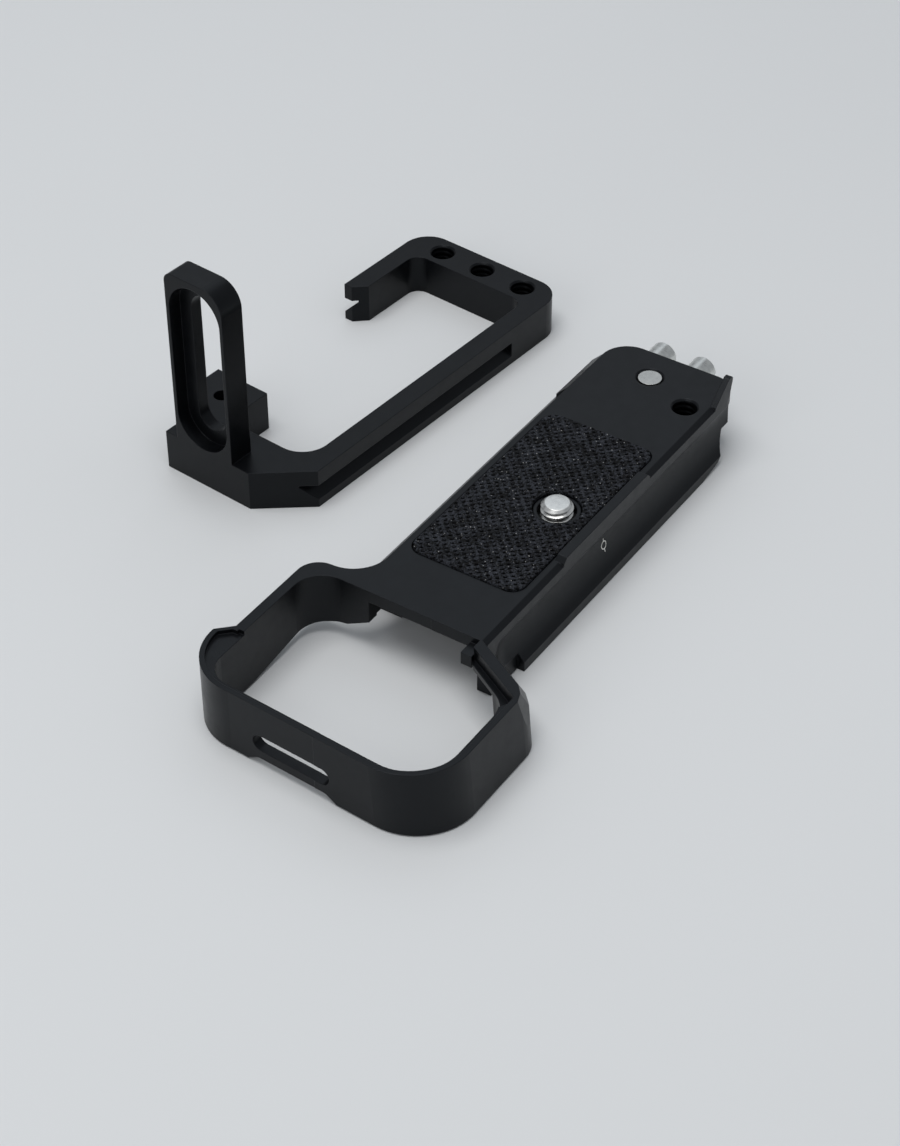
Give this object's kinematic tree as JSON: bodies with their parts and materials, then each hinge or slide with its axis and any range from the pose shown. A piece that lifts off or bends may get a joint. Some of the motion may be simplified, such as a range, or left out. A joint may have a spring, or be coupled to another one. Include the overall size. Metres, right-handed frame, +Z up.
{
  "type": "l-bracket",
  "caption": "Two-piece camera L-bracket: base plate with open grip ring, rubber pad and captive screw, and a detached side frame with dovetail grooves and a slotted tongue.",
  "frame": {"origin": "camera screw's axis at the deck's top plane", "axes": "+X from the grip ring to the plate's far end, +Y towards the side bracket, +Z up out of the deck"},
  "size_m": [0.1484, 0.1098, 0.048],
  "materials": {
    "anodised": "satin black anodised",
    "rubber": "matte, fine woven texture",
    "steel": "bright turned steel"
  },
  "bodies": {
    "base": {"base_plate": "anodised", "rubber_pad": "rubber", "retaining_ring": "steel", "guide_pin_left": "steel", "guide_pin_right": "steel"},
    "camera_screw": {"camera_screw": "steel"},
    "lock_screw": {"lock_screw": "steel"},
    "side_bracket": {"side_bracket": "anodised"}
  },
  "joints": [
    {"name": "camera_screw_turn", "type": "hinge", "parent": "base", "child": "camera_screw", "pos_m": [0, 0, 0], "axis": [0, 0, 1], "continuous": true},
    {"name": "lock_screw_turn", "type": "hinge", "parent": "base", "child": "lock_screw", "pos_m": [0.0462, 0.0066, 0], "axis": [0, 0, 1], "continuous": true},
    {"name": "side_bracket_lift", "type": "slide", "parent": "base", "child": "side_bracket", "axis": [0, 0, 1], "range_m": [0, 0.06]}
  ]
}
